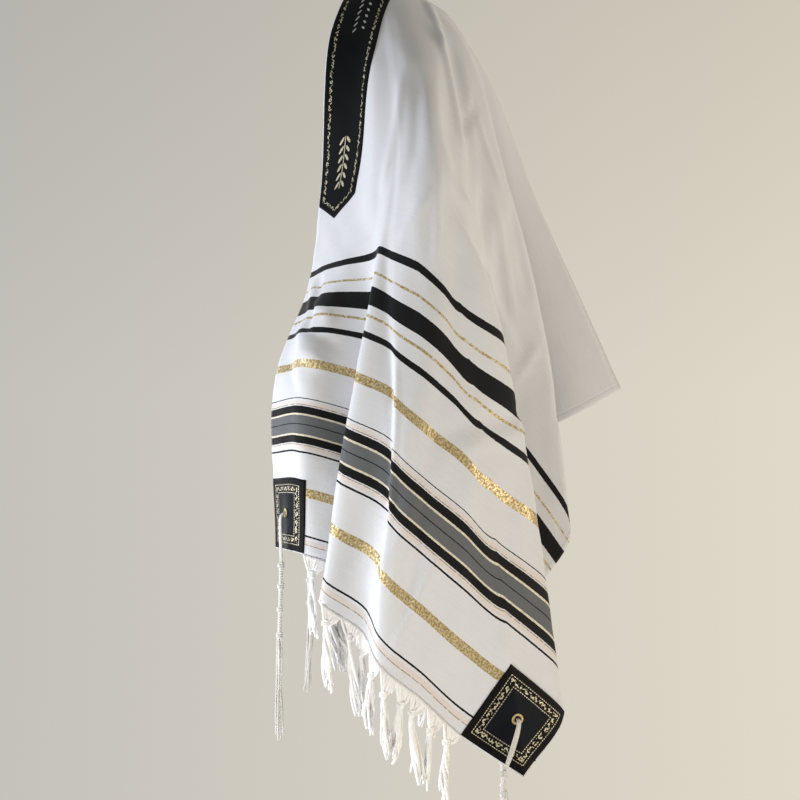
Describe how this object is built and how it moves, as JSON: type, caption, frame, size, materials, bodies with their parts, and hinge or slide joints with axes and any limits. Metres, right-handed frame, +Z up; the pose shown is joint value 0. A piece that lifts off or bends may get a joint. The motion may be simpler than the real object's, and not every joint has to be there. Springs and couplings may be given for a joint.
{
  "type": "prayer shawl (tallit), worn over the head",
  "caption": "White striped prayer shawl worn over the head, with a dark neckband, dark corner patches, knotted corner tassels and fringed short edges.",
  "frame": {"origin": "the point inside the top of the shawl that rests on the crown of the wearer's head", "axes": "+Z up, -Y the way the wearer looks, +X towards the wearer's left"},
  "size_m": [0.5383, 0.522, 1.4086],
  "materials": {
    "woven_cloth": "matte white twill weave with black, grey and metallic gold stripes near both short edges",
    "neckband_satin": "black satin with gold embroidery",
    "patch_satin": "black satin with gold border embroidery",
    "eyelet_thread": "gold stitched ring",
    "tassel_thread": "white twisted and knotted thread",
    "fringe_thread": "white tied fringe thread"
  },
  "bodies": {
    "root": {"cloth": "woven_cloth", "neckband": "neckband_satin", "patch_left_front": "patch_satin", "patch_left_back": "patch_satin", "patch_right_front": "patch_satin", "patch_right_back": "patch_satin", "eyelet_left_front": "eyelet_thread", "eyelet_left_back": "eyelet_thread", "eyelet_right_front": "eyelet_thread", "eyelet_right_back": "eyelet_thread", "tassel_left_front": "tassel_thread", "tassel_left_back": "tassel_thread", "tassel_right_front": "tassel_thread", "tassel_right_back": "tassel_thread", "fringe_left": "fringe_thread", "fringe_right": "fringe_thread"}
  },
  "joints": []
}
